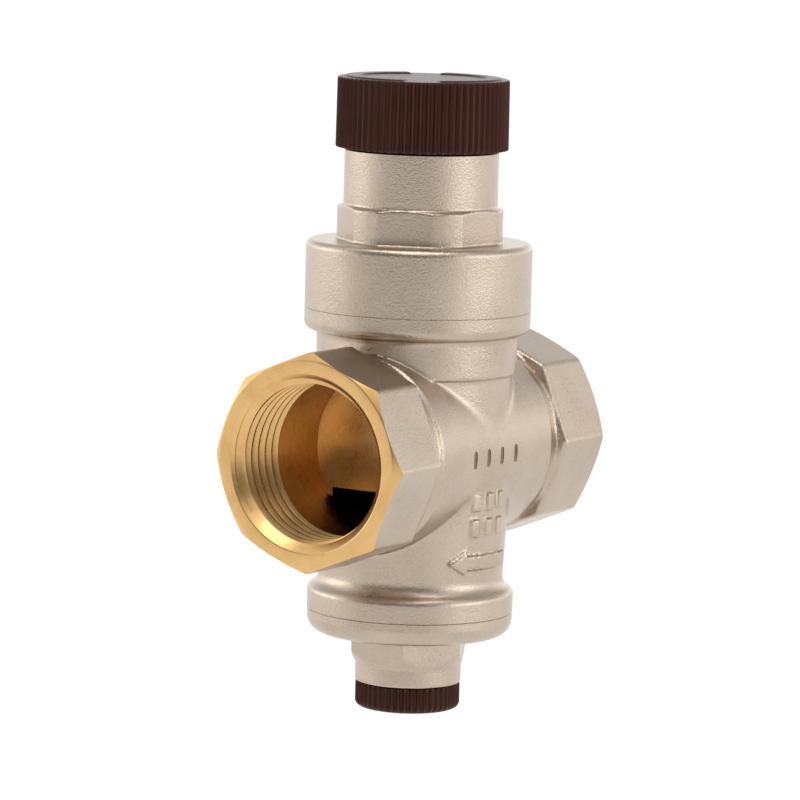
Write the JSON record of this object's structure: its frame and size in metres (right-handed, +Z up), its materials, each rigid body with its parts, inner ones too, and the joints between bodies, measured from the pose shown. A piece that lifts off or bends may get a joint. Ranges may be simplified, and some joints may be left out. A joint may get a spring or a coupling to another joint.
{
  "type": "pressure reducing valve",
  "caption": "In-line pressure reducing valve with octagonal threaded ports, spring bonnet under a ribbed cap and a plugged gauge port below.",
  "frame": {"origin": "crossing of the port axis and the vertical axis, inside the body", "axes": "+Z up along the bonnet, +X along the port axis towards the inlet, so the flow runs towards -X; the flow arrow is on the -Y side"},
  "size_m": [0.0608, 0.0352, 0.0987],
  "materials": {
    "nickel": "blasted and nickel-plated forging, satin; machined port faces, countersinks and threads are bare brass",
    "brass": "turned",
    "bordeaux_plastic": "moulded, fine vertical ribs",
    "black_plastic": "moulded",
    "rubber": "moulded",
    "stainless": "turned",
    "spring_steel": "drawn wire",
    "ptfe": "turned"
  },
  "bodies": {
    "root": {"body": "nickel", "bonnet": "nickel", "bottom_cap": "nickel", "bottom_cap_oring": "rubber", "stem_oring": "rubber", "stem_guide": "ptfe", "guide_clip": "spring_steel", "seat_ring": "stainless", "seat_oring": "rubber", "main_spring": "spring_steel"},
    "cap_seal": {"cap_gasket": "rubber"},
    "cap": {"cap": "bordeaux_plastic"},
    "spring_plate": {"upper_spring_plate": "stainless"},
    "adjuster": {"adjusting_screw": "brass"},
    "piston_set": {"piston": "brass", "piston_oring": "rubber", "piston_guide_ring": "ptfe", "piston_nut": "brass", "stem": "stainless", "shutter": "black_plastic", "shutter_gasket": "rubber", "shutter_nut": "stainless"},
    "plug_seal": {"gauge_plug_oring": "rubber"},
    "gauge_plug": {"gauge_plug": "bordeaux_plastic"}
  },
  "joints": [
    {"name": "cap_lift", "type": "slide", "parent": "root", "child": "cap_seal", "axis": [0, 0, 1], "range_m": [0, 0.0075]},
    {"name": "cap_turn", "type": "hinge", "parent": "cap_seal", "child": "cap", "pos_m": [0, 0, 0.051], "axis": [0, 0, 1], "range_deg": [0, 1800]},
    {"name": "adjuster_travel", "type": "slide", "parent": "root", "child": "spring_plate", "axis": [0, 0, 1], "range_m": [-0.006, 0.0015], "deforming": ["main_spring"]},
    {"name": "adjuster_turn", "type": "hinge", "parent": "spring_plate", "child": "adjuster", "pos_m": [0, 0, 0.0495], "axis": [0, 0, 1], "range_deg": [-1440, 360]},
    {"name": "piston_stroke", "type": "slide", "parent": "root", "child": "piston_set", "axis": [0, 0, 1], "range_m": [0, 0.0029], "stiffness_N_per_m": 27800, "deforming": ["main_spring"]},
    {"name": "plug_drop", "type": "slide", "parent": "root", "child": "plug_seal", "axis": [0, 0, 1], "range_m": [-0.0067, 0]},
    {"name": "plug_turn", "type": "hinge", "parent": "plug_seal", "child": "gauge_plug", "pos_m": [0, 0, -0.039], "axis": [0, 0, 1], "range_deg": [-1800, 0]}
  ],
  "couplings": [
    {"joint": "cap_lift", "follows": "cap_turn", "m_per_rad": 0.00023873},
    {"joint": "adjuster_travel", "follows": "adjuster_turn", "m_per_rad": 0.00023873},
    {"joint": "plug_drop", "follows": "plug_turn", "m_per_rad": 0.00021279}
  ]
}
